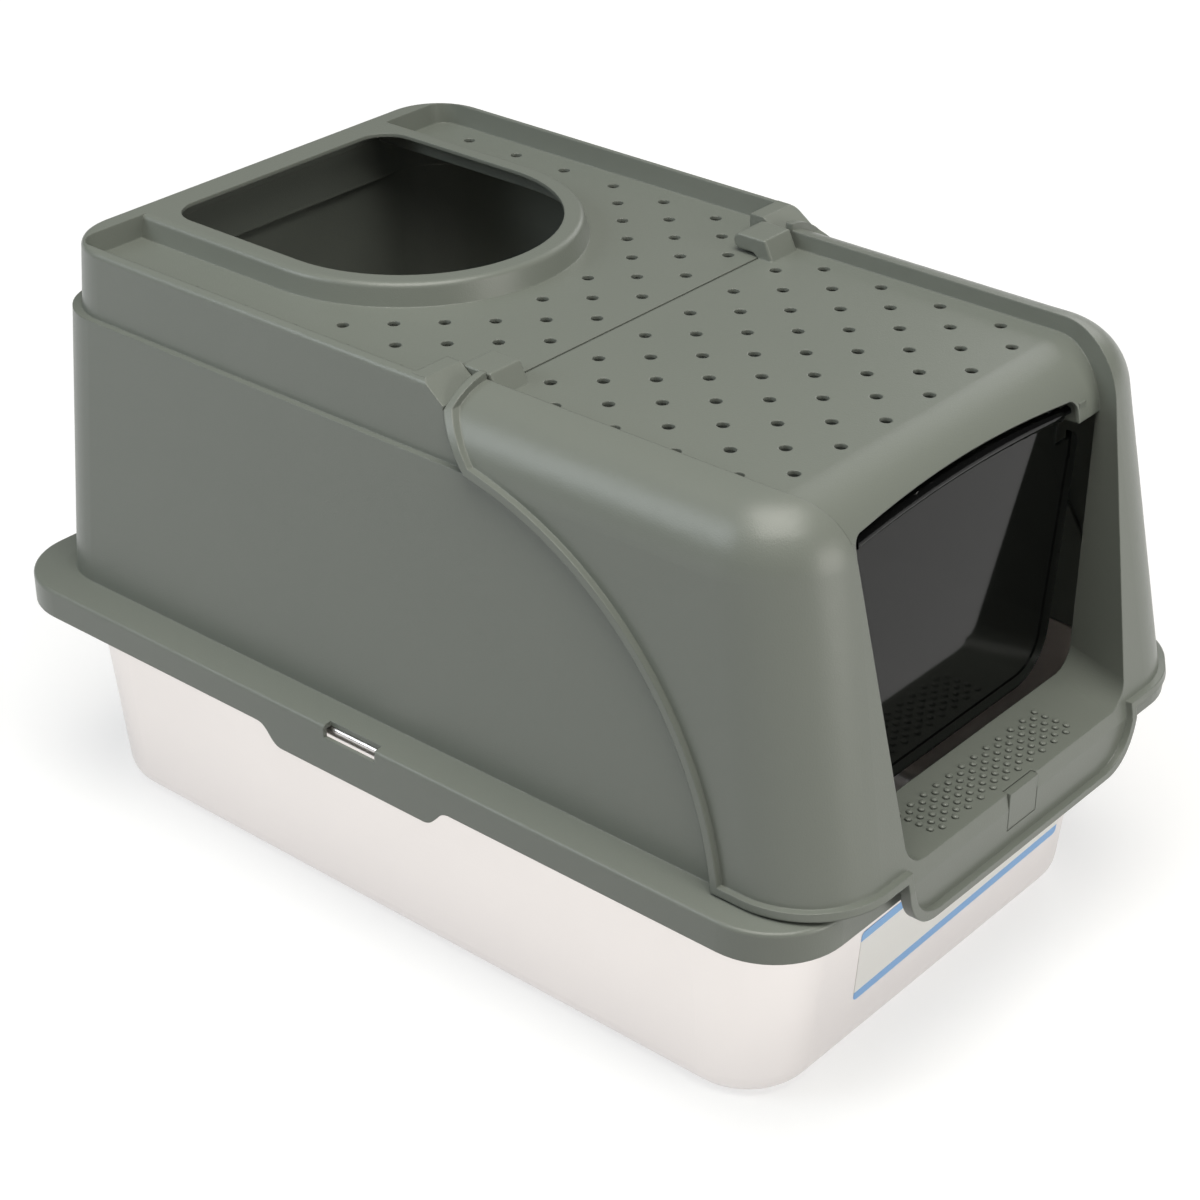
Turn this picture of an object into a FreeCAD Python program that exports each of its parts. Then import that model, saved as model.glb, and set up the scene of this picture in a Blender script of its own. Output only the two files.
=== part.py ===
import FreeCAD
import Part
import Sketcher
import math
import os

V = FreeCAD.Vector

# Frame: the origin is the middle of the pan's underside on the floor, +Z is up,
# the doorway faces -Y and X runs across the width. Lengths are millimetres, angles degrees.
# A size that starts with = follows from others in the sheet.
SIZES = [
    # steel litter pan
    ("pan_width", 322, "pan floor width"),
    ("pan_length", 532, "pan floor length"),
    ("pan_height", 150, "floor to the top of the pan rim"),
    ("pan_corner", 42, "plan corner radius at the pan floor"),
    ("pan_draft", 5.3, "outward lean of the pan walls"),
    ("pan_floor_round", 18, "radius between floor and walls"),
    ("pan_steel", 0.8, "sheet thickness"),
    ("rim_reach", 18, "rim overhang outside the pan wall"),
    ("rim_roll", 6, "width of the rolled rim edge"),
    ("rim_drop", 7, "height of the rolled rim edge"),
    # rear hood
    ("wall", 2.5, "wall of both mouldings"),
    ("seat_gap", 0.3, "play between pan rim and hood seat"),
    ("rim_room", 1.5849, "room between the pan rim and the skirt at the back"),
    ("skirt_out", "=pan_height * tan(pan_draft) + rim_reach + rim_room + wall", "skirt outside pan floor"),
    ("flange_side", 1, "further flange reach at each side"),
    ("flange_lead", 6, "further flange reach at the front"),
    ("flange_half", "=pan_width / 2 + skirt_out + flange_side", "half width of the hood flange"),
    ("flange_front", "=pan_length / 2 + skirt_out + flange_lead", "flange reach to the front"),
    ("flange_back", "=pan_length / 2 + skirt_out", "flange reach to the back"),
    ("flange_corner", 46, "flange plan corner radius"),
    ("flange_plate", 3, "flange thickness at its outer edge"),
    ("flange_crown", 2, "rise of the flange towards the wall"),
    ("flange_skirt", 16, "skirt hanging below the flange plate"),
    ("flange_round", 2.5, "rounding of the flange's outer edge"),
    ("tread_side", 21.5, "flat of the flange beside the hood wall"),
    ("tread_front", 26, "flat of the flange in front of the hood outline"),
    ("tread_back", 21, "flat of the flange behind the hood wall"),
    ("hood_half", "=flange_half - tread_side", "half width of the hood wall at the flange"),
    ("hood_front", "=flange_front - tread_front", "hood outline reach to the front"),
    ("hood_back", "=flange_back - tread_back", "hood outline reach to the back"),
    ("hood_corner", 38, "hood plan corner radius"),
    ("hood_draft", 3.2, "inward lean of the hood walls"),
    ("step_drop", 28, "deck down to the step line"),
    ("step_height", "=deck_height - step_drop", "height of the step line round the walls"),
    ("step_inset", 4, "how far the upper band stands back"),
    ("deck_height", 357, "height of the recessed decks"),
    ("rail_rise", 13.5, "rails and entry rim above the deck"),
    ("rail_width", 7, "width of the hood's side rails"),
    ("rail_deep", 30, "back rail and its wall, measured from the hood's foot"),
    ("rail_back", "=hood_back - rail_deep", "inner face of the broad rail across the back"),
    ("rail_corner", 12, "plan corner between side rails and back rail"),
    ("rail_round", 4, "rounding along the rail tops"),
    ("tab_half", 56, "half length of a side tab at its lower edge"),
    ("tab_run", 20, "length of the curve at each tab end"),
    ("tab_drop", 12, "depth of a side tab below the skirt"),
    ("slot_half", 20, "half length of a side slot"),
    ("slot_depth", 6, "side slot width on the flange top"),
    ("slot_height", 8, "side slot height on the skirt"),
    # top entry
    ("entry_side", 84.5, "side rails of the top entry, from the hood wall's foot"),
    ("entry_radius", "=hood_half - entry_side", "radius of the round front of the top entry"),
    ("entry_centre", 133, "centre of that radius along the length"),
    ("entry_land", 7.5, "flat between the back rail's inner face and the entry"),
    ("entry_back", "=rail_back - entry_land", "straight back edge of the top entry"),
    ("entry_corner", 20, "back corner radius of the top entry"),
    ("entry_rim", 15, "width of the entry rim at the deck"),
    ("entry_rim_lean", 3.5, "inward lean of the rim over its height"),
    # ventilation holes
    ("vent_bore", 7, "ventilation hole diameter"),
    ("vent_step_x", 19.7, "hole column spacing"),
    ("vent_step_y", 20.25, "hole row spacing"),
    ("vent_keepout", 122, "least distance from a rear hole to the entry axis"),
    ("vent_rear", 15.7, "first rear hole row behind the seam"),
    ("vent_front", 19.2, "first front hole row in front of the seam"),
    # seam and hinge between hood and visor
    ("seam", 46, "deck seam in front of the origin"),
    ("seam_gap", 0.6, "gap at the seam and between overlapping walls"),
    ("hinge_back", 13, "hinge axis behind the seam"),
    ("hinge_rise", 7, "hinge axis above the deck"),
    ("knuckle_radius", 5, "radius of the lug's round rear end"),
    ("lug_in", 70.5, "lugs' inner faces inside the hood wall"),
    ("lug_inner", "=hood_half - lug_in", "inner face of a hinge lug"),
    ("lug_width", 24.5, "width of a hinge lug"),
    ("lug_foot", 11, "lug base in front of the seam"),
    ("lug_slope", 6, "run of the lug's sloping front"),
    ("lug_round", 1.5, "rounding of the lug's upper edges"),
    ("pin_diameter", 5, "hinge stub diameter"),
    ("pin_reach", 8, "hinge stub length beyond its lug"),
    ("pin_play", 0.05, "radial play of hinge stubs and flap stubs"),
    ("boss_length", 25, "hinge boss length behind the seam"),
    # front visor
    ("visor_lead", 9, "visor front ahead of the flange"),
    ("visor_front", "=flange_front + visor_lead", "visor reach to the front"),
    ("visor_corner", 50, "visor plan corner radius"),
    ("visor_lean", 10.5, "backward lean of the cheeks"),
    ("visor_rise", 10, "visor rails above the deck"),
    ("visor_top", "=deck_height + visor_rise", "height of the visor rails"),
    ("shoulder", 40, "shoulder radius"),
    ("visor_bend", "=pan_height", "height where the front starts to lean back, level with the pan rim"),
    ("edge_rise", 4, "how far the rim along the visor edge stands out from its wall"),
    ("edge_width", 4.6, "width of that rim"),
    ("arc_radius", 216.7, "radius of the visor's side edge"),
    ("arc_drop", 21.3, "deck down to the top of that arc"),
    ("arc_centre_y", "=seam - hinge_back", "centre of the side edge, under the hinge"),
    ("arc_centre_z", "=deck_height - arc_drop - arc_radius", "height of that centre"),
    ("knee_run", 25, "run of the neck in front of the seam"),
    ("knee_y", "=seam + knee_run", "where the side edge turns up to the hinge"),
    ("neck_rise", 0.5, "top of the neck above the deck"),
    ("neck_height", "=deck_height + neck_rise", "top of the slanting part of the side edge"),
    ("overlap", 11, "hood wall reach under the visor edge"),
    ("overlap_drop", 15, "deck down to the top of the overlap"),
    ("overlap_top", "=deck_height - overlap_drop", "top of the overlap"),
    # doorway recess and ledge
    ("lug_bite", 1.5, "how far a hinge lug runs into its rail"),
    ("recess_half_deck", "=lug_inner + lug_width - lug_bite", "half width between the visor rails"),
    ("recess_step", 9, "how much narrower the doorway is at the ledge"),
    ("recess_widen", 3.5, "widening of the doorway carried up to the deck level"),
    ("recess_half_low", "=recess_half_deck - recess_step", "half width of the doorway at the ledge"),
    ("recess_half_top", "=recess_half_low + recess_widen", "half width of the doorway at the deck level"),
    ("recess_taper", 18, "angle at which the cheek walls close in towards the front"),
    ("recess_blend", 40, "radius where a cheek wall turns into its rail"),
    ("recess_corner", 14, "radius between ledge and cheek walls"),
    ("ledge_rise", 4.7, "ledge above the crown of the flange"),
    ("ledge_height", "=pan_height + seat_gap + flange_plate + flange_crown + ledge_rise",
     "height of the ledge below the doorway"),
    ("door_depth", 46, "doorway plane behind the visor's front"),
    ("door_plane", "=visor_front - door_depth", "doorway plane in front of the origin"),
    ("brow_radius", 36, "bend of the deck down to the doorway"),
    ("arch_drop", 15, "deck down to the middle of the doorway's arch"),
    ("arch_sag", 5, "arch ends below its middle"),
    ("shoulder_drop", 19, "doorway's upper corners below the arch"),
    ("door_corner", 17.5, "width of those corners"),
    ("door_shoulder", "=door_arch_top - shoulder_drop", "height of the doorway's upper corners"),
    ("door_half_top", "=recess_half_low - door_corner", "half width above those corners"),
    ("door_arch_side", "=door_arch_top - arch_sag", "height of the arch near its ends"),
    ("door_arch_top", "=deck_height - arch_drop", "height of the arch in the middle"),
    ("tongue_drop", 12.8, "front skirt below the flange skirt"),
    ("tongue_in", 8, "front skirt inside the doorway's width"),
    ("tongue_low", "=pan_height + seat_gap - flange_skirt - tongue_drop", "lower edge of the front skirt"),
    ("tongue_half", "=recess_half_low - tongue_in", "half width of the front skirt at the ledge"),
    ("tongue_sweep", 28, "run of the curve at its lower corners"),
    # door flap
    ("flap_back", 9, "flap axis behind the doorway plane"),
    ("flap_axis_drop", 14, "flap axis below the middle of the arch"),
    ("flap_axis_y", "=door_plane - flap_back", "flap axis in front of the origin"),
    ("flap_axis_z", "=door_arch_top - flap_axis_drop", "height of the flap axis"),
    ("flap_gap", 4, "flap's shoulders inside the doorway's width"),
    ("flap_taper", 17, "how much narrower the flap is at its lower edge"),
    ("flap_half_top", "=recess_half_low - flap_gap", "half width of the flap at its shoulders"),
    ("flap_half_low", "=flap_half_top - flap_taper", "half width of the flap at its lower edge"),
    ("flap_hang", 14, "flap's shoulders below its axis"),
    ("flap_clear", 5, "flap's lower edge above the ledge"),
    ("flap_shoulder", "=flap_axis_z - flap_hang", "height of the flap's shoulders"),
    ("flap_low", "=ledge_height + flap_clear", "height of the flap's lower edge"),
    ("flap_corner", 30, "lower corner radius of the flap"),
    ("flap_sheet", 2, "thickness of the flap panel"),
    ("flap_border", 8, "width of the flap's thicker border"),
    ("flap_border_thick", 3.6, "thickness of that border"),
    ("bar_gap", 7.5, "room between bar and doorway corner"),
    ("bar_half", "=door_half_top - bar_gap", "half length of the flap's top bar"),
    ("bar_rise", 6, "rise of the bar in its middle"),
    ("bar_radius", 4, "radius of the bar"),
    ("stub_diameter", 5, "flap stub diameter"),
    ("clip_width", 6, "width of a flap clip"),
    ("clip_radius", 6, "radius of a flap clip"),
    # latch
    ("latch_width", 27, "width of the latch tab"),
    ("latch_sink", 0.3, "latch cap below the ledge"),
    ("latch_height", 23.2, "height of the latch tab"),
    ("latch_low", "=latch_top - latch_height", "lower edge of the latch tab"),
    ("latch_top", "=ledge_height - latch_sink", "upper edge of the latch tab"),
    ("latch_gap", 0.5, "gap round the latch tab"),
    ("latch_reach", 2, "how far the latch cap lies back on the ledge behind its plate"),
    ("hook_width", 12, "width of the latch hook"),
    ("hook_drop", 4.3, "latch hook below the hood's seat"),
    ("hook_low", "=pan_height + seat_gap - hook_drop", "underside of the latch hook"),
    ("hook_thick", 3, "thickness of the latch hook"),
    ("hook_grip", 1.5, "how far the hook reaches into the skirt"),
    ("hook_play", 2.2, "room round the hook in its slot"),
]

doc = FreeCAD.newDocument("litter_box")
sheet = doc.addObject("Spreadsheet::Sheet", "sizes")
for row, (alias, value, note) in enumerate(SIZES, start=1):
    sheet.set("A%d" % row, note)
    sheet.setAlias("B%d" % row, alias)
for row, (alias, value, note) in enumerate(SIZES, start=1):
    sheet.set("B%d" % row, str(value))
doc.recompute()


def size(alias):
    return float(sheet.get(alias))


def lean(alias):
    return math.tan(math.radians(size(alias)))


def line(a, b):
    return Part.LineSegment(a, b).toShape()


def arc(a, b, c):
    return Part.Arc(a, b, c).toShape()


def prism(edges, direction):
    return Part.Face(Part.Wire(edges)).extrude(direction)


# rounded rectangle in plan, between two reaches along Y
def outline(half, front, back, corner, z):
    x = half - corner
    y0 = front + corner
    y1 = back - corner
    c = corner * math.sqrt(0.5)
    ends = [V(-x, front, z), V(x, front, z), V(half, y0, z), V(half, y1, z),
            V(x, back, z), V(-x, back, z), V(-half, y1, z), V(-half, y0, z)]
    mids = [V(x + c, y0 - c, z), V(x + c, y1 + c, z), V(-x - c, y1 + c, z), V(-x - c, y0 - c, z)]
    edges = []
    for i in range(4):
        edges.append(line(ends[2 * i], ends[2 * i + 1]))
        edges.append(arc(ends[2 * i + 1], mids[i], ends[(2 * i + 2) % 8]))
    return Part.Wire(edges)


def loft(*wires):
    return Part.makeLoft(list(wires), True, True)


def slab(wire, height):
    return Part.Face(wire).extrude(V(0, 0, height))


def mirrored(shape):
    return shape.mirror(V(0, 0, 0), V(1, 0, 0))


# edges of a shape that lie wholly on one level
def level_edges(shape, z):
    found = []
    for edge in shape.Edges:
        box = edge.BoundBox
        if abs(box.ZMin - z) < 1e-4 and abs(box.ZMax - z) < 1e-4:
            found.append(edge)
    return found


def feature(name, shape):
    item = doc.addObject("Part::Feature", name)
    item.Label = name
    item.Shape = shape
    return item


wall = size("wall")
deck = size("deck_height")
rail_top = deck + size("rail_rise")
seat = size("pan_height") + size("seat_gap")
flange_edge = seat + size("flange_plate")
flange_top = flange_edge + size("flange_crown")
skirt_low = seat - size("flange_skirt")
seam = -size("seam")
gap = size("seam_gap")
hinge_y = seam + size("hinge_back")
hinge_z = deck + size("hinge_rise")
pin_r = size("pin_diameter") / 2


# steel pan: a drawn tray with a rolled rim
def origin_plane(body, role):
    for item in body.Origin.OriginFeatures:
        if item.Role == role:
            return item


def pan_sketch(body, name, level, loops):
    sketch = body.newObject("Sketcher::SketchObject", name)
    sketch.AttachmentSupport = (origin_plane(body, "XY_Plane"), [""])
    sketch.MapMode = "FlatFace"
    sketch.setExpression(".AttachmentOffset.Base.z", level)
    for tag, grow in loops:
        add_loop(sketch, tag, grow)
    return sketch


# one rounded rectangle of the pan's plan, grown outward from the floor outline
def add_loop(sketch, tag, grow):
    hx = size("pan_width") / 2
    hy = size("pan_length") / 2
    r = size("pan_corner")
    n = sketch.GeometryCount
    up = V(0, 0, 1)
    sketch.addGeometry(Part.LineSegment(V(r - hx, -hy, 0), V(hx - r, -hy, 0)))
    sketch.addGeometry(Part.LineSegment(V(hx, r - hy, 0), V(hx, hy - r, 0)))
    sketch.addGeometry(Part.LineSegment(V(hx - r, hy, 0), V(r - hx, hy, 0)))
    sketch.addGeometry(Part.LineSegment(V(-hx, hy - r, 0), V(-hx, r - hy, 0)))
    centres = [V(hx - r, r - hy, 0), V(hx - r, hy - r, 0), V(r - hx, hy - r, 0), V(r - hx, r - hy, 0)]
    for i, centre in enumerate(centres):
        start = (i - 1) * math.pi / 2
        sketch.addGeometry(Part.ArcOfCircle(Part.Circle(centre, up, r), start, start + math.pi / 2))
    for i in range(4):
        sketch.addConstraint(Sketcher.Constraint("Tangent", n + i, 2, n + 4 + i, 1))
        sketch.addConstraint(Sketcher.Constraint("Tangent", n + 4 + i, 2, n + (i + 1) % 4, 1))
    for i in range(3):
        sketch.addConstraint(Sketcher.Constraint("Equal", n + 4 + i, n + 5 + i))
    for i in (0, 2):
        sketch.addConstraint(Sketcher.Constraint("Horizontal", n + i))
        sketch.addConstraint(Sketcher.Constraint("Vertical", n + i + 1))
    sketch.addConstraint(Sketcher.Constraint("Symmetric", n, 1, n + 2, 1, -1, 1))
    across = sketch.addConstraint(Sketcher.Constraint("DistanceX", n + 3, 1, n + 1, 1, 2 * hx))
    along = sketch.addConstraint(Sketcher.Constraint("DistanceY", n, 1, n + 2, 1, 2 * hy))
    round_ = sketch.addConstraint(Sketcher.Constraint("Radius", n + 4, r))
    sketch.renameConstraint(across, tag + "_across")
    sketch.renameConstraint(along, tag + "_along")
    sketch.renameConstraint(round_, tag + "_corner")
    sketch.setExpression("Constraints." + tag + "_across", "sizes.pan_width + 2 * (" + grow + ")")
    sketch.setExpression("Constraints." + tag + "_along", "sizes.pan_length + 2 * (" + grow + ")")
    sketch.setExpression("Constraints." + tag + "_corner", "sizes.pan_corner + " + grow)


def edge_names(shape, level):
    names = []
    for i, edge in enumerate(shape.Edges, start=1):
        box = edge.BoundBox
        if abs(box.ZMin - level) < 1e-4 and abs(box.ZMax - level) < 1e-4:
            names.append("Edge%d" % i)
    return names


# a drafted block with a rounded floor edge: the pan's outside, and its hollow one sheet further in
def drawn_block(name, level, grow, height, floor_round):
    body = doc.addObject("PartDesign::Body", name)
    pad = body.newObject("PartDesign::Pad", name + "_draw")
    pad.Profile = pan_sketch(body, name + "_floor", level, [("floor", grow)])
    pad.setExpression("Length", height)
    pad.setExpression("TaperAngle", "sizes.pan_draft")
    doc.recompute()
    bend = body.newObject("PartDesign::Fillet", name + "_bend")
    bend.Base = (pad, edge_names(pad.Shape, pad.Shape.BoundBox.ZMin))
    bend.setExpression("Radius", floor_round)
    doc.recompute()
    return body


tray = drawn_block("pan_outside", "0", "0", "sizes.pan_height", "sizes.pan_floor_round")
hollow = drawn_block("pan_hollow", "sizes.pan_steel",
                     "sizes.pan_steel * tan(sizes.pan_draft) - sizes.pan_steel / cos(sizes.pan_draft)",
                     "sizes.pan_height", "sizes.pan_floor_round - sizes.pan_steel")

# the wall top stands out from the floor outline by the draft
flare = "sizes.pan_height * tan(sizes.pan_draft)"
plate = tray.newObject("PartDesign::Pad", "pan_rim_plate")
plate.Profile = pan_sketch(tray, "pan_rim_flat", "sizes.pan_height - sizes.pan_steel", [
    ("plate", flare + " + sizes.rim_reach - sizes.rim_roll / 2")])
plate.setExpression("Length", "sizes.pan_steel")
roll = tray.newObject("PartDesign::Pad", "pan_rim_roll")
roll.Profile = pan_sketch(tray, "pan_rim_edge", "sizes.pan_height - sizes.rim_drop", [
    ("outer", flare + " + sizes.rim_reach"),
    ("inner", flare + " + sizes.rim_reach - sizes.rim_roll")])
roll.setExpression("Length", "sizes.rim_drop")
doc.recompute()

# the roll's outer edges are rounded as the curled sheet is
rim_edges = []
reach = roll.Shape.BoundBox.XMax
for i, edge in enumerate(roll.Shape.Edges, start=1):
    box = edge.BoundBox
    if box.ZLength < 1e-4 and box.XLength < 1e-4 and abs(abs(box.XMin) - reach) < 1e-4:
        rim_edges.append("Edge%d" % i)
curl = tray.newObject("PartDesign::Fillet", "pan_rim_curl")
curl.Base = (roll, rim_edges)
curl.setExpression("Radius", "sizes.rim_roll * 0.45")
doc.recompute()

pan = doc.addObject("Part::Cut", "litter_pan")
pan.Label = "litter_pan"
pan.Base = tray
pan.Tool = hollow
doc.recompute()


# rear hood: two drafted bands with a step between them
def hood_wire(inset, z):
    back_off = inset + (z - flange_top) * lean("hood_draft")
    if z > size("step_height"):
        back_off += size("step_inset")
    return outline(size("hood_half") - back_off, back_off - size("hood_front"),
                   size("hood_back") - back_off, size("hood_corner") - inset, z)


def hood_bands(inset, low, top, top_round):
    step = size("step_height") - inset
    lower = loft(hood_wire(inset, low), hood_wire(inset, step))
    just_over = size("step_height") + 1e-3
    band = loft(hood_wire(inset, just_over), hood_wire(inset, top))
    if top_round > 0:
        band = band.makeFillet(top_round, level_edges(band, top))
    root = slab(hood_wire(inset, just_over), step - 1 - just_over)
    return lower.fuse([band, root])


# closed curve of the top entry, grown outward
def entry_wire(grow, z):
    r = size("entry_radius") + grow
    yc = size("entry_centre")
    back = size("entry_back") + grow
    c = size("entry_corner") + grow
    k = c * (1 - math.sqrt(0.5))
    return Part.Wire([
        arc(V(-r, yc, z), V(0, yc - r, z), V(r, yc, z)),
        line(V(r, yc, z), V(r, back - c, z)),
        arc(V(r, back - c, z), V(r - k, back - k, z), V(r - c, back, z)),
        line(V(r - c, back, z), V(c - r, back, z)),
        arc(V(c - r, back, z), V(k - r, back - k, z), V(-r, back - c, z)),
        line(V(-r, back - c, z), V(-r, yc, z))])


# how far the upper band stands in from the hood's foot at a level
def stand_in(z):
    return (z - flange_top) * lean("hood_draft") + size("step_inset")


# the raised entry rim is round in front; its straight sides run into the broad back rail
def rim_block(inset, low, top):
    lean_in = size("entry_rim_lean") / size("rail_rise")
    back = size("hood_back") - stand_in(rail_top) - wall
    yc = size("entry_centre")
    wires = []
    for z in (low, top):
        r = size("entry_radius") + size("entry_rim") - inset - (z - deck) * lean_in
        wires.append(Part.Wire([
            arc(V(-r, yc, z), V(0, yc - r, z), V(r, yc, z)),
            line(V(r, yc, z), V(r, back, z)),
            line(V(r, back, z), V(-r, back, z)),
            line(V(-r, back, z), V(-r, yc, z))]))
    return loft(*wires)


def well_wire(grow, z):
    half = size("hood_half") - stand_in(deck) - size("rail_width") + grow
    return outline(half, -size("hood_front"), size("rail_back") + grow, size("rail_corner") + grow, z)


bands = hood_bands(0, seat, rail_top, size("rail_round"))
rim = rim_block(0, deck, rail_top)
rim = rim.makeFillet(size("rail_round"), level_edges(rim, rail_top))
well = loft(well_wire(0, deck), well_wire(1, rail_top + size("rail_round")))
well = well.cut(rim)
entry = slab(entry_wire(0, seat), rail_top)
rim_hollow = rim_block(wall, deck - 2 * wall, rail_top - wall)

# the hinge bosses widen the rail ends beside the seam
boss_inner = size("lug_inner") + size("lug_width") + gap
boss_outer = size("hood_half") - stand_in(rail_top) - wall
boss_low = deck - wall
boss = Part.makeBox(boss_outer - boss_inner, size("boss_length"), rail_top - boss_low,
                    V(boss_inner, seam, boss_low))
bosses = [boss, mirrored(boss)]

# everything in front of the seam and of the hood's arched side edges belongs to the visor
arc_y = -size("arc_centre_y")
arc_z = size("arc_centre_z")
far = -size("visor_front") - 100
high = rail_top + 100


def on_arc(radius, z):
    return arc_y - math.sqrt(radius ** 2 - (z - arc_z) ** 2)


def side(y, z):
    return V(-300, y, z)


# side edge of the visor: from the seam down a slanting neck to the knee, then along the arc
neck = V(0, seam - gap / 2, size("neck_height"))
knee_y = -size("knee_y")
knee = V(0, knee_y, arc_z + math.sqrt(size("arc_radius") ** 2 - (knee_y - arc_y) ** 2))


# the hood keeps clear of the neck and reaches under the arched edge
def hood_front_cut():
    r = size("arc_radius") + size("overlap")
    edge_y = seam + gap / 2
    lip = size("overlap_top")
    low = flange_top - 0.2
    slope_y = hinge_y + pin_r
    slope_z = deck + pin_r
    neck_y = neck.y + (lip - neck.z) * (knee.y - neck.y) / (knee.z - neck.z) + 2 * gap
    start_y = on_arc(r, lip)
    end_y = on_arc(r, low)
    bow = math.radians(45)
    middle = side(arc_y - r * math.sin(bow), arc_z + r * math.cos(bow))
    points = [side(slope_y, high), side(slope_y, rail_top), side(edge_y, slope_z), side(edge_y, neck.z),
              side(neck_y, lip), side(start_y, lip)]
    edges = [line(a, b) for a, b in zip(points, points[1:])]
    edges.append(arc(side(start_y, lip), middle, side(end_y, low)))
    points = [side(end_y, low), side(far, low), side(far, high), side(slope_y, high)]
    edges += [line(a, b) for a, b in zip(points, points[1:])]
    half = size("recess_half_deck") + wall + gap
    deck_edge = Part.makeBox(2 * half, edge_y - far, high - lip, V(-half, far, lip))
    return prism(edges, V(600, 0, 0)).fuse(deck_edge)


# flange and skirt that sit over the pan rim
def flange_wire(inset, z):
    return outline(size("flange_half") - inset, inset - size("flange_front"),
                   size("flange_back") - inset, size("flange_corner") - inset, z)


crown_inset = size("flange_half") - size("hood_half")
plate = slab(flange_wire(0, skirt_low), flange_edge - skirt_low)
plate = plate.makeFillet(size("flange_round"), level_edges(plate, flange_edge))
crown = loft(flange_wire(size("flange_round"), flange_edge), flange_wire(crown_inset, flange_top))
under = slab(flange_wire(wall, skirt_low - 1), seat - skirt_low + 1)


# side tab: the skirt drops with an S-curve at each end
def side_tab():
    x = size("flange_half") - wall
    top = skirt_low + wall
    low = skirt_low - size("tab_drop")
    half = size("tab_half")
    end = half + size("tab_run")
    mid = half + size("tab_run") / 2
    curve = Part.BezierCurve()
    curve.setPoles([V(x, end, skirt_low), V(x, mid, skirt_low), V(x, mid, low), V(x, half, low)])
    other = Part.BezierCurve()
    other.setPoles([V(x, -half, low), V(x, -mid, low), V(x, -mid, skirt_low), V(x, -end, skirt_low)])
    edges = [line(V(x, end, top), V(x, end, skirt_low)), curve.toShape(),
             line(V(x, half, low), V(x, -half, low)), other.toShape(),
             line(V(x, -end, skirt_low), V(x, -end, top)), line(V(x, -end, top), V(x, end, top))]
    return prism(edges, V(wall, 0, 0))


tab = side_tab()
slot = Part.makeBox(size("slot_depth") + wall, 2 * size("slot_half"), size("slot_height") + 4 * wall,
                    V(size("flange_half") - size("slot_depth"), -size("slot_half"),
                      flange_edge - size("slot_height")))
catch_half = size("hook_width") / 2 + size("hook_play")
catch = Part.makeBox(2 * catch_half, 4 * wall, size("hook_thick") + 2 * size("hook_play"),
                     V(-catch_half, -size("flange_front") - wall, size("hook_low") - size("hook_play")))
bore = Part.makeCylinder(pin_r + size("pin_play"), size("pin_reach") + 2,
                         V(boss_inner - 1, hinge_y, hinge_z), V(1, 0, 0))


# ventilation holes on a staggered lattice; column and row counts together are odd
def vents(rows, keep):
    holes = []
    step_x = size("vent_step_x")
    for row, y in rows:
        for column in range(-8, 9):
            if (column + row) % 2 and keep(column * step_x, y, row):
                foot = V(column * step_x, y, deck - 2 * wall)
                holes.append(Part.makeCylinder(size("vent_bore") / 2, 4 * wall, foot))
    return Part.makeCompound(holes)


def rear_keep(x, y, row):
    centre = size("entry_centre")
    away = abs(x) if y > centre else math.hypot(x, y - centre)
    beside_lug = y < seam + size("boss_length") + size("vent_bore") and abs(x) > size("lug_inner")
    inside = abs(x) < size("hood_half") - stand_in(deck) - size("rail_width") - size("vent_bore")
    return away > size("vent_keepout") and inside and not beside_lug


first_rear = seam + size("vent_rear")
rear_rows = [(n, first_rear + n * size("vent_step_y")) for n in range(13)]
rear_vents = feature("rear_vents", vents(rear_rows, rear_keep))

body = bands.cut(well)
body = body.fuse(bosses)
body = body.cut(hood_front_cut())
body = body.fuse([plate, crown, tab, mirrored(tab)])
body = body.cut([under, hood_bands(wall, skirt_low, deck - wall, 0), rim_hollow, entry, slot, mirrored(slot),
                 catch, bore, mirrored(bore)])
hood_shell = feature("hood_shell", body)
hood = doc.addObject("Part::Cut", "rear_hood")
hood.Label = "rear_hood"
hood.Base = hood_shell
hood.Tool = rear_vents
doc.recompute()


# front visor: a leaning envelope with big shoulders; its sides lean as the hood walls they overlap do
bend = size("visor_bend")
visor_half = size("hood_half") + gap + wall + (flange_top - bend) * lean("hood_draft")
visor_low = flange_top + gap
tongue_low = size("tongue_low")


def visor_envelope(inset):
    top = size("visor_top") - inset
    rise = top - bend
    half = visor_half - inset
    front = inset - size("visor_front")
    back = 2 * size("visor_corner")
    corner = size("visor_corner") - inset
    narrow = half - rise * lean("hood_draft")
    block = loft(outline(half, front, back, corner, tongue_low - 4 * wall),
                 outline(half, front, back, corner, bend),
                 outline(narrow, front + rise * lean("visor_lean"), back, corner, top))
    return block.makeFillet(size("shoulder") - inset, level_edges(block, top))


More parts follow.
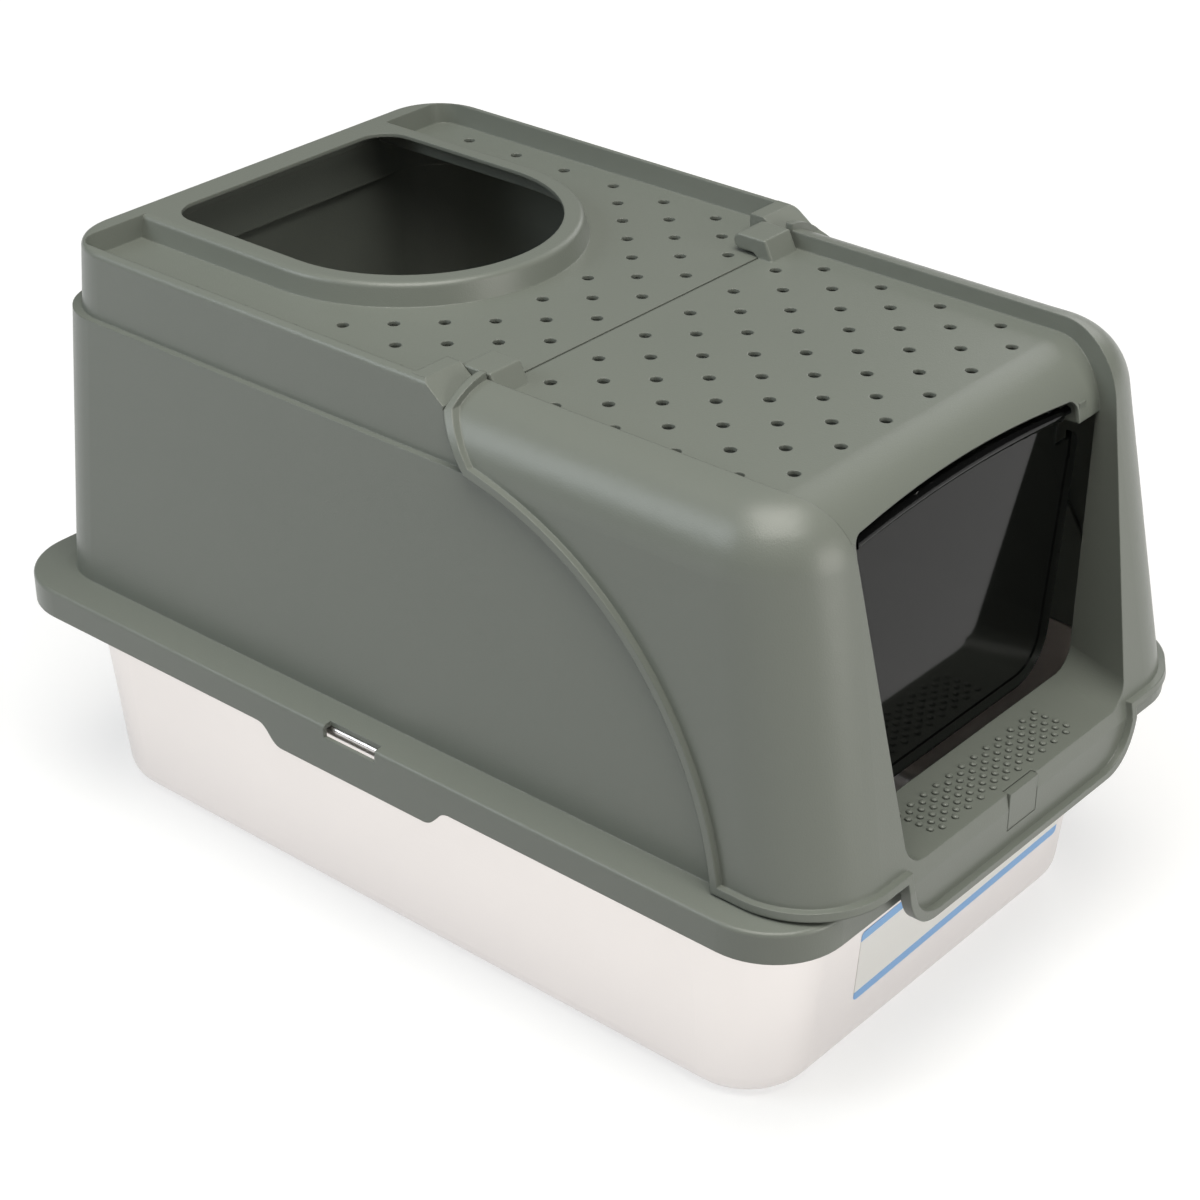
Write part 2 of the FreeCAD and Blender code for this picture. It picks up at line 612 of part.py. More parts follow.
# what the visor covers, seen from the side: in front of the seam, the neck and the arched edge
def visor_cover(inset):
    r = size("arc_radius") + inset
    along = (knee - neck).normalize()
    base = neck + V(0, along.z, -along.y) * inset
    turn = base + along * ((neck.y - inset - base.y) / along.y)
    from_centre = base - V(0, arc_y, arc_z)
    half_b = from_centre.dot(along)
    root = math.sqrt(half_b ** 2 - from_centre.dot(from_centre) + r ** 2)
    corner = base + along * (-half_b + root if from_centre.Length < r else -half_b - root)
    low = visor_low + inset
    end_y = on_arc(r, low)
    bow = (math.atan2(arc_y - corner.y, corner.z - arc_z) + math.atan2(arc_y - end_y, low - arc_z)) / 2
    middle = side(arc_y - r * math.sin(bow), arc_z + r * math.cos(bow))
    points = [side(end_y, low), side(far, low), side(far, high), side(turn.y, high), side(turn.y, turn.z),
              side(corner.y, corner.z)]
    edges = [line(a, b) for a, b in zip(points, points[1:])]
    edges.append(arc(side(corner.y, corner.z), middle, side(end_y, low)))
    return prism(edges, V(600, 0, 0))


# the front skirt hangs below the ledge between two swept corners
def tongue(inset, back):
    half = size("tongue_half") - inset
    low = tongue_low + inset
    top = size("ledge_height") + size("recess_corner")
    sweep = size("tongue_sweep")
    foot = half - sweep
    mid = (visor_low + low) / 2
    right = Part.BezierCurve()
    right.setPoles([V(half, far, visor_low), V(half, far, mid),
                    V(half - 0.3 * sweep, far, low), V(foot, far, low)])
    left = mirrored(right.toShape())
    points = [V(-half, far, visor_low), V(-half, far, top), V(half, far, top), V(half, far, visor_low)]
    edges = [line(a, b) for a, b in zip(points, points[1:])]
    edges += [right.toShape(), line(V(foot, far, low), V(-foot, far, low)), left]
    return prism(edges, V(0, back - far, 0))


def visor_part(envelope_inset, cover_inset, tongue_back):
    cover = visor_cover(cover_inset).fuse(tongue(cover_inset, tongue_back))
    return visor_envelope(envelope_inset).common(cover)


# doorway recess: the deck runs forward, bends down over the brow to the doorway and out along the ledge
door_y = -size("door_plane")
brow = size("brow_radius")
brow_y = door_y + brow
brow_z = deck - brow


def recess(grow):
    r = brow - grow
    top = deck - grow
    back = door_y + grow
    low = size("ledge_height") - 2 * size("recess_corner")
    half = math.sqrt(0.5)
    path = [line(side(-seam, top), side(brow_y, top)),
            arc(side(brow_y, top), side(brow_y - r * half, brow_z + r * half), side(back, brow_z)),
            line(side(back, brow_z), side(back, low)), line(side(back, low), side(far, low)),
            line(side(far, low), side(far, high)), line(side(far, high), side(-seam, high)),
            line(side(-seam, high), side(-seam, top))]
    return prism(path, V(600, 0, 0))


# plan of the recess: straight between the rails, then the cheek walls close in towards the front;
# the walls widen upwards and meet the ledge in round corners
def recess_sides(grow):
    low = size("ledge_height") - grow
    wide = size("recess_half_deck") + grow
    widen = (size("recess_half_top") - size("recess_half_low")) / (deck - size("ledge_height"))
    narrow = size("recess_half_low") + grow * (1 - widen)
    rise = V(widen * (high - low), 0, high - low)
    mouth = narrow + (far - door_y) * lean("recess_taper")
    turn_y = door_y + (wide - narrow) / lean("recess_taper")
    points = [V(-wide / 2, far, low), V(mouth, far, low), V(wide, turn_y, low), V(wide, -seam, low),
              V(-wide / 2, -seam, low)]
    half = prism([line(a, b) for a, b in zip(points, points[1:] + points[:1])], rise)
    turn = [e for e in half.Edges if e.BoundBox.ZLength > wall and abs(e.BoundBox.YMin - turn_y) < 1e-4]
    half = half.makeFillet(size("recess_blend"), turn)
    foot = [e for e in half.Edges if abs(e.BoundBox.ZMax - low) < 1e-4 and e.BoundBox.XMin > 0]
    foot = [e for e in foot if e.BoundBox.XMax > mouth + 1 and e.BoundBox.YLength > wall]
    half = half.makeFillet(size("recess_corner") + grow, foot)
    return half.fuse(mirrored(half)).removeSplitter()


def doorway():
    y = far
    half = size("door_half_top")
    shoulder = size("door_shoulder")
    arch = size("door_arch_side")
    r = (arch - shoulder) / 2
    wide = visor_half
    low = tongue_low
    c = r * (1 - math.sqrt(0.5))
    edges = [line(V(-wide, y, low), V(wide, y, low)), line(V(wide, y, low), V(wide, y, shoulder)),
             line(V(wide, y, shoulder), V(half, y, shoulder)),
             line(V(half, y, shoulder), V(half, y, arch - r)),
             arc(V(half, y, arch - r), V(half - c, y, arch - c), V(half - r, y, arch)),
             arc(V(half - r, y, arch), V(0, y, size("door_arch_top")), V(r - half, y, arch)),
             arc(V(r - half, y, arch), V(c - half, y, arch - c), V(-half, y, arch - r)),
             line(V(-half, y, arch - r), V(-half, y, shoulder)),
             line(V(-half, y, shoulder), V(-wide, y, shoulder)),
             line(V(-wide, y, shoulder), V(-wide, y, low))]
    return prism(edges, V(0, brow_y + brow / 2 - far, 0))


# the raised rim follows the visor's whole edge, down round the front skirt as well
tongue_back = -size("flange_front") + 3 * wall
rim_width = size("edge_width")
shield = visor_part(0, 0, tongue_back)
rim_band = visor_part(-size("edge_rise"), 0, tongue_back)
rim_band = rim_band.cut(visor_cover(rim_width).fuse(tongue(rim_width, door_y)))
outside = shield.fuse(rim_band)
inside = visor_part(wall, -2 * wall, tongue_back + 2 * wall)
carved = outside.cut(recess(0).fuse(doorway()).common(recess_sides(0)))
cavity = inside.cut(recess(wall).common(recess_sides(wall)))

# hinge lugs reach back over the seam to their round knuckles, with a stub on the outer side
lug_outer = size("lug_inner") + size("lug_width")


def hinge_lug():
    x = size("lug_inner")
    r = size("knuckle_radius")
    top = hinge_z + r
    base = deck - wall / 2
    run = size("lug_slope") / (top - deck)
    foot = seam - size("lug_foot") - (deck - base) * run
    front = seam - size("lug_foot") + size("lug_slope")
    rear = seam - gap / 2
    points = [V(x, hinge_y, hinge_z - r), V(x, rear + wall, hinge_z - r), V(x, rear, deck), V(x, rear, base),
              V(x, foot, base), V(x, front, top), V(x, hinge_y, top)]
    edges = [line(a, b) for a, b in zip(points, points[1:])]
    edges.append(arc(V(x, hinge_y, top), V(x, hinge_y + r, hinge_z), V(x, hinge_y, hinge_z - r)))
    block = prism(edges, V(size("lug_width"), 0, 0))
    upper = [e for e in block.Edges if e.BoundBox.ZMax > top - 1e-3 and e.BoundBox.YMax < hinge_y + 1e-3]
    upper = [e for e in upper if e.BoundBox.YMin < hinge_y - 1e-3]
    block = block.makeFillet(size("lug_round"), upper)
    stub = Part.makeCylinder(pin_r, size("pin_reach") + 2, V(lug_outer - 2, hinge_y, hinge_z), V(1, 0, 0))
    return block.fuse(stub)


# clips behind the doorway's upper corners hold the flap stubs
flap_y = -size("flap_axis_y")
flap_z = size("flap_axis_z")
clip_inner = size("door_half_top") + 2 * gap


def flap_clip():
    r = size("clip_radius")
    w = size("clip_width")
    back = door_y + wall / 2
    eye = Part.makeCylinder(r, w, V(clip_inner, flap_y, flap_z), V(1, 0, 0))
    arm = Part.makeBox(w, flap_y - back, 2 * r, V(clip_inner, back, flap_z - r))
    return eye.fuse(arm)


lug = hinge_lug()
clip = flap_clip()
eye_bore = Part.makeCylinder(size("stub_diameter") / 2 + size("pin_play"), size("clip_width") + 2,
                             V(clip_inner - 1, flap_y, flap_z), V(1, 0, 0))
latch_half = size("latch_width") / 2 + size("latch_gap")
latch_face = -size("visor_front")
window_low = size("latch_low") - size("latch_gap")
window_back = latch_face + wall + size("latch_reach") + size("latch_gap")
window = Part.makeBox(2 * latch_half, window_back - far, size("ledge_height") + wall - window_low,
                      V(-latch_half, far, window_low))


def front_keep(x, y, row):
    return abs(x) < size("recess_half_deck") - size("vent_bore")


first_front = seam - size("vent_front")
front_rows = [(n, first_front - n * size("vent_step_y")) for n in range(9)]
front_vents = feature("front_vents", vents(front_rows, front_keep))

visor_body = carved.cut(cavity)
visor_body = visor_body.fuse([lug, mirrored(lug), clip, mirrored(clip)])
visor_body = visor_body.cut([eye_bore, mirrored(eye_bore), window])
visor_shell = feature("visor_shell", visor_body)
visor = doc.addObject("Part::Cut", "front_visor")
visor.Label = "front_visor"
visor.Base = visor_shell
visor.Tool = front_vents
doc.recompute()


# door flap: tinted panel with a thicker border, hung from a slightly arched bar
def flap_panel(inset, thick):
    y = flap_y - thick / 2
    top_half = size("flap_half_top") - inset
    low_half = size("flap_half_low") - inset
    shoulder = size("flap_shoulder") - inset
    low = size("flap_low") + inset
    points = [V(-low_half, y, low), V(low_half, y, low), V(top_half, y, shoulder), V(-top_half, y, shoulder)]
    block = prism([line(a, b) for a, b in zip(points, points[1:] + points[:1])], V(0, thick, 0))
    low_corners = [e for e in block.Edges if e.BoundBox.YLength > thick / 2 and e.BoundBox.XLength < 1e-4
                   and abs(e.BoundBox.ZMax - low) < 1e-4]
    block = block.makeFillet(size("flap_corner") - inset, low_corners)
    top_corners = [e for e in block.Edges if e.BoundBox.YLength > thick / 2 and e.BoundBox.XLength < 1e-4
                   and abs(e.BoundBox.ZMax - shoulder) < 1e-4]
    return block.makeFillet(size("flap_border") + 1 - inset, top_corners)


def flap_bar():
    half = size("bar_half")
    rise = size("bar_rise")
    r = (half ** 2 + rise ** 2) / (2 * rise)
    centre = V(0, flap_y, flap_z + rise - r)
    turn = math.degrees(math.asin(half / r))
    start = centre + V(-half, 0, r - rise)
    along = V(math.cos(math.radians(turn)), 0, math.sin(math.radians(turn)))
    circle = Part.Circle(start, along, size("bar_radius"))
    section = Part.Face(Part.Wire(circle.toShape()))
    return section.revolve(centre, V(0, 1, 0), 2 * turn)


# the border runs down both sides and along the bottom
edge = size("flap_border")
thick = size("flap_border_thick")
open_half = size("flap_half_top") - edge
open_top = Part.makeBox(2 * open_half, 2 * thick, 3 * edge,
                        V(-open_half, flap_y - thick, size("flap_shoulder") - 2 * edge))
border = flap_panel(0, thick).cut([flap_panel(edge, 2 * thick), open_top])
sheet_panel = flap_panel(size("flap_border") / 2, size("flap_sheet"))


# the panel reaches up to the bar along the same arch
def flap_web():
    half = size("bar_half") - size("flap_sheet")
    y = flap_y - size("flap_sheet") / 2
    low = size("flap_shoulder") - size("flap_border")
    top = flap_z + size("bar_rise")
    edges = [line(V(-half, y, low), V(half, y, low)), line(V(half, y, low), V(half, y, flap_z)),
             arc(V(half, y, flap_z), V(0, y, top), V(-half, y, flap_z)),
             line(V(-half, y, flap_z), V(-half, y, low))]
    return prism(edges, V(0, size("flap_sheet"), 0))


stub_start = size("bar_half") - size("bar_radius")
stub = Part.makeCylinder(size("stub_diameter") / 2, clip_inner + size("clip_width") - stub_start,
                         V(stub_start, flap_y, flap_z), V(1, 0, 0))
flap = feature("door_flap", border.fuse([sheet_panel, flap_web(), flap_bar(), stub, mirrored(stub)]))

# latch tab in the skirt's window, with a hook that reaches through the flange skirt
latch_plate = doc.addObject("Part::Box", "latch_plate")
latch_plate.setExpression("Length", "sizes.latch_width")
latch_plate.setExpression("Width", "sizes.wall")
latch_plate.setExpression("Height", "sizes.latch_top - sizes.latch_low")
latch_plate.setExpression("Placement.Base.x", "-sizes.latch_width / 2")
latch_plate.setExpression("Placement.Base.y", "-sizes.visor_front")
latch_plate.setExpression("Placement.Base.z", "sizes.latch_low")
latch_hook = doc.addObject("Part::Box", "latch_hook")
latch_hook.setExpression("Length", "sizes.hook_width")
latch_hook.setExpression("Width", "sizes.visor_front - sizes.flange_front + sizes.hook_grip - sizes.wall / 2")
latch_hook.setExpression("Height", "sizes.hook_thick")
latch_hook.setExpression("Placement.Base.x", "-sizes.hook_width / 2")
latch_hook.setExpression("Placement.Base.y", "-sizes.visor_front + sizes.wall / 2")
latch_hook.setExpression("Placement.Base.z", "sizes.hook_low")
latch_cap = doc.addObject("Part::Box", "latch_cap")
latch_cap.setExpression("Length", "sizes.latch_width")
latch_cap.setExpression("Width", "sizes.wall + sizes.latch_reach")
latch_cap.setExpression("Height", "sizes.wall")
latch_cap.setExpression("Placement.Base.x", "-sizes.latch_width / 2")
latch_cap.setExpression("Placement.Base.y", "-sizes.visor_front")
latch_cap.setExpression("Placement.Base.z", "sizes.latch_top - sizes.wall")
latch = doc.addObject("Part::MultiFuse", "front_latch")
latch.Label = "front_latch"
latch.Shapes = [latch_plate, latch_hook, latch_cap]
doc.recompute()

# every object must be sound before anything is written
nodes = [pan, hood, visor, flap, latch]
for item in doc.Objects:
    if "Invalid" in item.State or "Error" in item.State:
        raise RuntimeError("failed object: " + item.Name)
for node in nodes:
    if node.Shape.isNull() or not node.Shape.isValid() or len(node.Shape.Solids) != 1:
        raise RuntimeError("unsound piece: " + node.Label)

os.makedirs("parts", exist_ok=True)
for node in nodes:
    node.Shape.exportStep("parts/" + node.Label + ".step")
    print(node.Label, "%.1f cm3" % (node.Shape.Volume / 1000))
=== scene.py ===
import bpy
import math
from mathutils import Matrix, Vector


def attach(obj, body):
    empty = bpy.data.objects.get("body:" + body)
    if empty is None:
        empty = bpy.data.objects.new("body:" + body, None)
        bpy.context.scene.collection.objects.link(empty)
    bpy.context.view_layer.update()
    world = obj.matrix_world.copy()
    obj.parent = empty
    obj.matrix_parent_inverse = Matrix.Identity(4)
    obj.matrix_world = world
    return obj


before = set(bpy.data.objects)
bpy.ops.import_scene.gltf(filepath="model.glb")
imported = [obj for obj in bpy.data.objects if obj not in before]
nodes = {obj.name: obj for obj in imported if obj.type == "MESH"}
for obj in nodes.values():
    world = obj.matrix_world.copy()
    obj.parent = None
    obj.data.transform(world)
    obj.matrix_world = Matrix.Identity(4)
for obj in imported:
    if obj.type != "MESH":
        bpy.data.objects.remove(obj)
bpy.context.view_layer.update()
print("frame loaded:", sorted(nodes))


def toLinear(hexColour):  # sRGB hex to linear, with alpha 1
    parts = [int(hexColour[i:i + 2], 16) / 255 for i in (0, 2, 4)]
    return tuple(c / 12.92 if c < 0.04045 else ((c + 0.055) / 1.055) ** 2.4 for c in parts) + (1.0,)


def addNode(tree, kind, values=None, links=None, **settings):
    node = tree.nodes.new(kind)
    for key, value in settings.items():
        setattr(node, key, value)
    for key, value in (values or {}).items():
        node.inputs[key].default_value = value
    for key, source in (links or {}).items():
        tree.links.new(source, node.inputs[key])
    return node


def newMaterial(name):
    material = bpy.data.materials.new(name)
    material.use_nodes = True
    tree = material.node_tree
    return material, tree, tree.nodes["Principled BSDF"]


def perMm(mm):  # texture scale for a feature of this size, on object coordinates in metres
    return 1000.0 / mm


# Moulded polypropylene: an even grey-green with a spark-eroded grain that breaks up the sheen
polypropylene = {
    "colour": "6f746d", "colourSoft": "747871", "roughLow": 0.28, "roughHigh": 0.39,
    "grainMm": 0.9, "grainDepth": 0.0002, "grainRelief": 0.5, "mottleMm": 140, "edgeRound": 0.0012,
    "ior": 1.49,
}


def makePolypropylene(name, finish):
    material, tree, shader = newMaterial(name)
    coords = addNode(tree, "ShaderNodeTexCoord")
    mottle = addNode(tree, "ShaderNodeTexNoise", {"Scale": perMm(finish["mottleMm"]), "Detail": 3.0},
                     {"Vector": coords.outputs["Object"]})
    tint = addNode(tree, "ShaderNodeMix", {6: toLinear(finish["colour"]), 7: toLinear(finish["colourSoft"])},
                   {0: mottle.outputs["Fac"]}, data_type="RGBA")
    grain = addNode(tree, "ShaderNodeTexNoise",  # real grain is near 0.3 mm, drawn coarser so that it shows
                    {"Scale": perMm(finish["grainMm"]), "Detail": 2.0, "Roughness": 0.6},
                    {"Vector": coords.outputs["Object"]})
    rough = addNode(tree, "ShaderNodeMapRange", {"To Min": finish["roughLow"], "To Max": finish["roughHigh"]},
                    {"Value": grain.outputs["Fac"]})
    edge = addNode(tree, "ShaderNodeBevel", {"Radius": finish["edgeRound"]}, samples=6)
    relief = addNode(tree, "ShaderNodeBump",
                     {"Strength": finish["grainRelief"], "Distance": finish["grainDepth"]},
                     {"Height": grain.outputs["Fac"], "Normal": edge.outputs["Normal"]})
    shader.inputs["IOR"].default_value = finish["ior"]
    tree.links.new(tint.outputs[2], shader.inputs["Base Color"])
    tree.links.new(rough.outputs["Result"], shader.inputs["Roughness"])
    tree.links.new(relief.outputs["Normal"], shader.inputs["Normal"])
    return material


# Satin stainless sheet: drawn and fine-brushed along its walls, so highlights spread softly
stainless = {
    "colour": "e4dfdd", "roughLow": 0.25, "roughHigh": 0.42, "lineMm": 0.7, "runMm": 60, "smearMm": 90,
    "lineRelief": 0.16, "lineDepth": 0.00006,
}


def makeStainless(name, finish):
    material, tree, shader = newMaterial(name)
    coords = addNode(tree, "ShaderNodeTexCoord")
    across = perMm(finish["runMm"])
    stretch = addNode(tree, "ShaderNodeMapping", {"Scale": (across, across, perMm(finish["lineMm"]))},
                      {"Vector": coords.outputs["Object"]})
    lines = addNode(tree, "ShaderNodeTexNoise", {"Scale": 1.0, "Detail": 4.0, "Roughness": 0.7},
                    {"Vector": stretch.outputs["Vector"]})
    smear = addNode(tree, "ShaderNodeTexNoise", {"Scale": perMm(finish["smearMm"]), "Detail": 3.0},
                    {"Vector": coords.outputs["Object"]})
    blend = addNode(tree, "ShaderNodeMath", None, {0: lines.outputs["Fac"], 1: smear.outputs["Fac"]},
                    operation="MULTIPLY")
    rough = addNode(tree, "ShaderNodeMapRange",
                    {"From Max": 0.5, "To Min": finish["roughLow"], "To Max": finish["roughHigh"]},
                    {"Value": blend.outputs["Value"]})
    relief = addNode(tree, "ShaderNodeBump",
                     {"Strength": finish["lineRelief"], "Distance": finish["lineDepth"]},
                     {"Height": lines.outputs["Fac"]})
    shader.inputs["Base Color"].default_value = toLinear(finish["colour"])
    shader.inputs["Metallic"].default_value = 1.0
    tree.links.new(rough.outputs["Result"], shader.inputs["Roughness"])
    tree.links.new(relief.outputs["Normal"], shader.inputs["Normal"])
    return material


# Smoke-tinted acrylic: clear and glossy, it darkens what is behind it and mirrors what is in front
smokeAcrylic = {
    "colour": "2a2c2c", "roughness": 0.05, "clear": 0.92, "ior": 1.26, "rippleMm": 70,  # sheet is near 1.49
    "rippleRelief": 0.05, "rippleDepth": 0.0006,
}


def makeSmokeAcrylic(name, finish):
    material, tree, shader = newMaterial(name)
    coords = addNode(tree, "ShaderNodeTexCoord")
    ripple = addNode(tree, "ShaderNodeTexNoise", {"Scale": perMm(finish["rippleMm"]), "Detail": 1.0},
                     {"Vector": coords.outputs["Object"]})
    relief = addNode(tree, "ShaderNodeBump",
                     {"Strength": finish["rippleRelief"], "Distance": finish["rippleDepth"]},
                     {"Height": ripple.outputs["Fac"]})
    shader.inputs["Base Color"].default_value = toLinear(finish["colour"])
    shader.inputs["Roughness"].default_value = finish["roughness"]
    shader.inputs["IOR"].default_value = finish["ior"]  # set low, to the weak sheen of this flap
    shader.inputs["Transmission Weight"].default_value = finish["clear"]
    tree.links.new(relief.outputs["Normal"], shader.inputs["Normal"])
    return material


# Printed film label: smooth and slightly glossy, with a faint tone where the film wrinkles
labelFilm = {
    "paper": "fdfcfb", "band": "86bcf8", "roughness": 0.32, "wrinkleMm": 35,
    "wrinkleRelief": 0.08, "wrinkleDepth": 0.0005,
}


def makeLabelFilm(name, colour, finish):
    material, tree, shader = newMaterial(name)
    coords = addNode(tree, "ShaderNodeTexCoord")
    wrinkle = addNode(tree, "ShaderNodeTexNoise", {"Scale": perMm(finish["wrinkleMm"]), "Detail": 3.0},
                      {"Vector": coords.outputs["Object"]})
    relief = addNode(tree, "ShaderNodeBump",
                     {"Strength": finish["wrinkleRelief"], "Distance": finish["wrinkleDepth"]},
                     {"Height": wrinkle.outputs["Fac"]})
    shader.inputs["Base Color"].default_value = toLinear(colour)
    shader.inputs["Roughness"].default_value = finish["roughness"]
    tree.links.new(relief.outputs["Normal"], shader.inputs["Normal"])
    return material


greyGreen = makePolypropylene("mouldedPolypropylene", polypropylene)
satinSteel = makeStainless("satinStainlessSteel", stainless)
smoke = makeSmokeAcrylic("smokeTintedAcrylic", smokeAcrylic)
paperFilm = makeLabelFilm("whiteLabelFilm", labelFilm["paper"], labelFilm)
bandFilm = makeLabelFilm("blueLabelFilm", labelFilm["band"], labelFilm)
dress = {"litter_pan": satinSteel, "rear_hood": greyGreen, "front_visor": greyGreen,
         "front_latch": greyGreen, "door_flap": smoke}
for name, material in dress.items():
    nodes[name].data.materials.clear()
    nodes[name].data.materials.append(material)
print("materials set")


def clearSelection():
    for item in bpy.context.selected_objects:
        item.select_set(False)


def settle(piece):  # place and turn go into the mesh
    clearSelection()
    piece.select_set(True)
    bpy.context.view_layer.objects.active = piece
    bpy.ops.object.transform_apply(location=True, rotation=True, scale=True)


# Grip dots on the ledge in front of the door
gripDots = {
    "radius": 0.0021, "height": 0.0011, "segments": 12, "rings": 8, "ledge": 0.160, "stepX": 0.01209,
    "firstX": -0.0689, "columns": 12, "rows": (-0.2820, -0.2890, -0.2960, -0.3030), "stagger": -0.0035,
}


def makeGripDots(piece):
    clearSelection()
    bpy.ops.mesh.primitive_uv_sphere_add(segments=piece["segments"], ring_count=piece["rings"],
                                         radius=piece["radius"])
    dot = bpy.context.object
    bpy.ops.object.mode_set(mode="EDIT")
    bpy.ops.mesh.select_all(action="SELECT")
    bpy.ops.mesh.bisect(plane_co=(0, 0, 0), plane_no=(0, 0, 1), clear_inner=True, use_fill=True)
    bpy.ops.mesh.select_all(action="SELECT")
    bpy.ops.transform.resize(value=(1, 1, piece["height"] / piece["radius"]))
    bpy.ops.object.mode_set(mode="OBJECT")
    bpy.ops.object.shade_smooth_by_angle(angle=math.radians(50))
    places = []
    for column in range(2 * piece["columns"] - 1):
        shift = piece["stagger"] if column % 2 else 0.0
        for row in piece["rows"]:
            places.append((piece["firstX"] + column * piece["stepX"] / 2, row + shift, piece["ledge"]))
    copies = []
    for place in places:
        copy = dot.copy()
        copy.data = dot.data.copy()
        copy.location = place
        bpy.context.collection.objects.link(copy)
        copies.append(copy)
    bpy.data.objects.remove(dot)
    clearSelection()
    for copy in copies:
        copy.select_set(True)
    bpy.context.view_layer.objects.active = copies[0]
    bpy.ops.object.join()
    dots = bpy.context.object
    dots.name = "gripDots"
    settle(dots)
    dots.data.materials.clear()
    dots.data.materials.append(greyGreen)
    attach(dots, "visor")
    return dots


makeGripDots(gripDots)
print("grip dots made")

# Film label on the pan's front wall, slightly askew as it was stuck on
panLabel = {
    "width": 0.2045, "height": 0.050, "centreX": 0.0193, "centreZ": 0.0644, "tilt": 1.6,
    "columns": 24, "rows": 8, "floorFront": -0.266, "draft": 5.3, "thick": 0.00015,
    "standOff": 0.00003, "corner": 0.003,
}


def makePanLabel(piece):
    clearSelection()
    bpy.ops.mesh.primitive_grid_add(x_subdivisions=piece["columns"], y_subdivisions=piece["rows"], size=1)
    label = bpy.context.object
    label.name = "panLabel"
    label.scale = (piece["width"], piece["height"], 1)
    settle(label)
    clearSelection()
    label.select_set(True)
    bpy.context.view_layer.objects.active = label
    bpy.ops.object.mode_set(mode="EDIT")
    bpy.ops.mesh.select_all(action="DESELECT")
    bpy.ops.object.mode_set(mode="OBJECT")
    cornerX, cornerY = piece["width"] / 2 - 1e-5, piece["height"] / 2 - 1e-5
    for vertex in label.data.vertices:
        vertex.select = abs(vertex.co.x) > cornerX and abs(vertex.co.y) > cornerY
    bpy.ops.object.mode_set(mode="EDIT")
    bpy.ops.mesh.bevel(affect="VERTICES", offset=piece["corner"], segments=4)
    bpy.ops.object.mode_set(mode="OBJECT")
    label.data.materials.append(paperFilm)
    label.data.materials.append(bandFilm)
    band = piece["height"] / 2 - piece["height"] / piece["rows"]
    for face in label.data.polygons:
        face.material_index = 1 if abs(face.center.y) > band else 0
    solid = label.modifiers.new("film", "SOLIDIFY")
    solid.thickness = piece["thick"]
    solid.offset = 1.0
    bpy.ops.object.modifier_apply(modifier="film")
    slope = math.tan(math.radians(piece["draft"]))
    label.rotation_mode = "ZYX"  # turned on its own face first, then leaned on to the wall
    label.rotation_euler = (math.radians(90 + piece["draft"]), 0, math.radians(piece["tilt"]))
    front = piece["floorFront"] - piece["centreZ"] * slope - piece["standOff"]
    label.location = (piece["centreX"], front, piece["centreZ"])
    settle(label)
    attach(label, "pan")
    return label


makePanLabel(panLabel)
print("label made")

# Pale floor, soft light and the camera
studio = {
    "floorColour": "a8a8a6", "floorSeen": "bbbbbb", "floorWhite": 0.56, "floorFar": 1.0, "fadeFrom": 0.42,
    "fadeTo": 3.0, "floorRough": 0.8, "floorShine": 0.1, "floorSize": 14.0, "floorDrop": 0.0005,
    "worldColour": "ffffff", "worldLight": 0.12,
    "camera": (-1.0925, -0.9488, 0.9931), "looks": (0.658, 0.562, -0.501), "lens": 82.9, "sensor": 36.0,
}


def seenRay(tree):  # 1 for rays that show a surface: straight, mirrored or through the acrylic
    path = addNode(tree, "ShaderNodeLightPath")
    seen = addNode(tree, "ShaderNodeMath", None,
                   {0: path.outputs["Is Camera Ray"], 1: path.outputs["Is Glossy Ray"]}, operation="MAXIMUM")
    return addNode(tree, "ShaderNodeMath", None,
                   {0: seen.outputs["Value"], 1: path.outputs["Is Transmission Ray"]}, operation="MAXIMUM")


def makeFloorPaper(name, setting):  # grey to the light that it throws back, near white where it is seen
    material, tree, shader = newMaterial(name)
    seen = seenRay(tree)
    tint = addNode(tree, "ShaderNodeMix",
                   {6: toLinear(setting["floorColour"]), 7: toLinear(setting["floorSeen"])},
                   {0: seen.outputs["Value"]}, data_type="RGBA")
    coords = addNode(tree, "ShaderNodeTexCoord")
    reach = addNode(tree, "ShaderNodeVectorMath", None, {0: coords.outputs["Object"]}, operation="LENGTH")
    fade = addNode(tree, "ShaderNodeMapRange",  # the paper runs out to white beyond the lamps' reach
                   {"From Min": setting["fadeFrom"], "From Max": setting["fadeTo"],
                    "To Min": setting["floorWhite"], "To Max": setting["floorFar"]},
                   {"Value": reach.outputs["Value"]}, interpolation_type="SMOOTHSTEP")
    lift = addNode(tree, "ShaderNodeMath", None, {0: seen.outputs["Value"], 1: fade.outputs["Result"]},
                   operation="MULTIPLY")
    tree.links.new(tint.outputs[2], shader.inputs["Base Color"])
    shader.inputs["Roughness"].default_value = setting["floorRough"]
    shader.inputs["Specular IOR Level"].default_value = setting["floorShine"]
    shader.inputs["Emission Color"].default_value = (1, 1, 1, 1)
    tree.links.new(lift.outputs["Value"], shader.inputs["Emission Strength"])
    return material


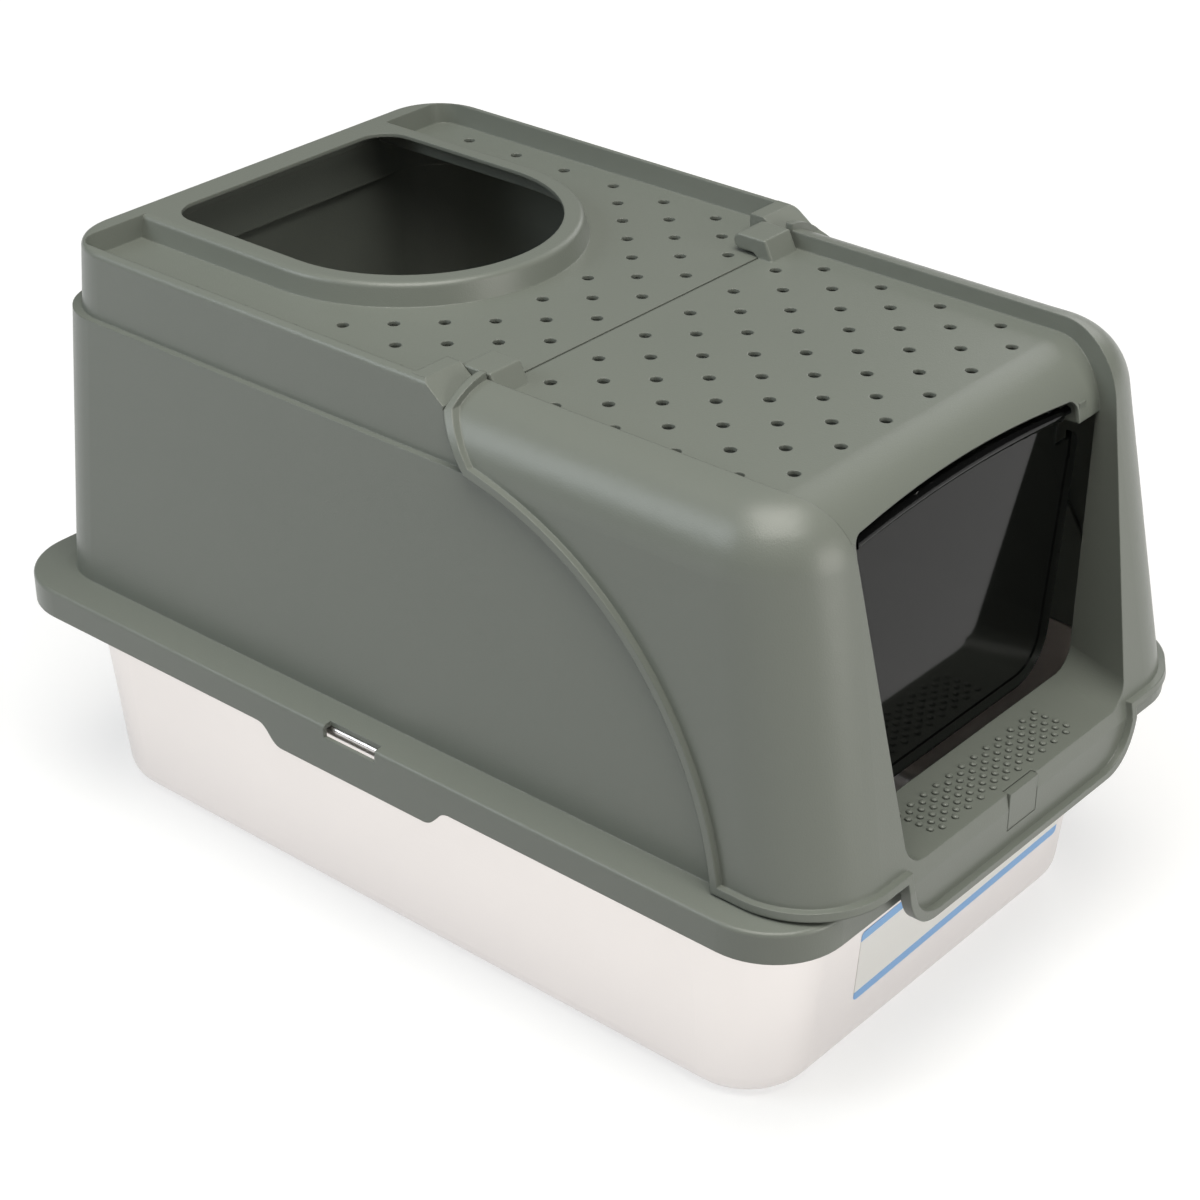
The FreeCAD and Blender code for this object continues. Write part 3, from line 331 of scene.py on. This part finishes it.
def makeStudio(setting):
    clearSelection()
    bpy.ops.mesh.primitive_plane_add(size=setting["floorSize"], location=(0, 0, -setting["floorDrop"]))
    floor = bpy.context.object
    floor.name = "floor"
    floor.data.materials.append(makeFloorPaper("paleFloor", setting))
    world = bpy.data.worlds.new("softWorld")
    bpy.context.scene.world = world
    world.use_nodes = True
    tree = world.node_tree
    back = tree.nodes["Background"]
    path = addNode(tree, "ShaderNodeLightPath")
    level = addNode(tree, "ShaderNodeMapRange", {"To Min": setting["worldLight"], "To Max": 1.0},
                    {"Value": path.outputs["Is Camera Ray"]})
    back.inputs["Color"].default_value = toLinear(setting["worldColour"])
    tree.links.new(level.outputs["Result"], back.inputs["Strength"])


# softboxes: place, aim, width, height, watts, colour
softboxes = {
    "topBox": ((-0.5, -0.5, 2.4), (0, 0, 0.2), 1.8, 1.8, 58, "fffdf6"),
    "rearBox": ((-1.8, 1.3, 1.6), (0, 0, 0.2), 1.2, 1.2, 20, "f2faff"),
    "frontBox": ((0.3, -2.4, 0.6), (0, -0.1, 0.2), 1.2, 1.2, 20, "fffdf6"),
    "rightBox": ((2.2, 0.3, 1.3), (0, 0, 0.2), 1.2, 1.2, 8, "ffffff"),
}


def makeSoftboxes(boxes):
    for name, (place, aim, width, height, watts, colour) in boxes.items():
        lamp = bpy.data.lights.new(name, "AREA")
        lamp.shape = "RECTANGLE"
        lamp.size = width
        lamp.size_y = height
        lamp.energy = watts
        lamp.color = toLinear(colour)[:3]
        item = bpy.data.objects.new(name, lamp)
        item.location = place
        item.rotation_euler = (Vector(aim) - Vector(place)).to_track_quat("-Z", "Y").to_euler()
        bpy.context.collection.objects.link(item)


def makeCamera(setting):
    lens = bpy.data.cameras.new("photoCamera")
    lens.lens = setting["lens"]
    lens.sensor_width = setting["sensor"]
    lens.sensor_fit = "HORIZONTAL"
    camera = bpy.data.objects.new("photoCamera", lens)
    camera.location = setting["camera"]
    camera.rotation_euler = Vector(setting["looks"]).to_track_quat("-Z", "Y").to_euler()
    bpy.context.collection.objects.link(camera)
    bpy.context.scene.camera = camera


makeStudio(studio)
makeSoftboxes(softboxes)
makeCamera(studio)
bpy.context.scene.view_settings.view_transform = "Standard"
print("studio ready")
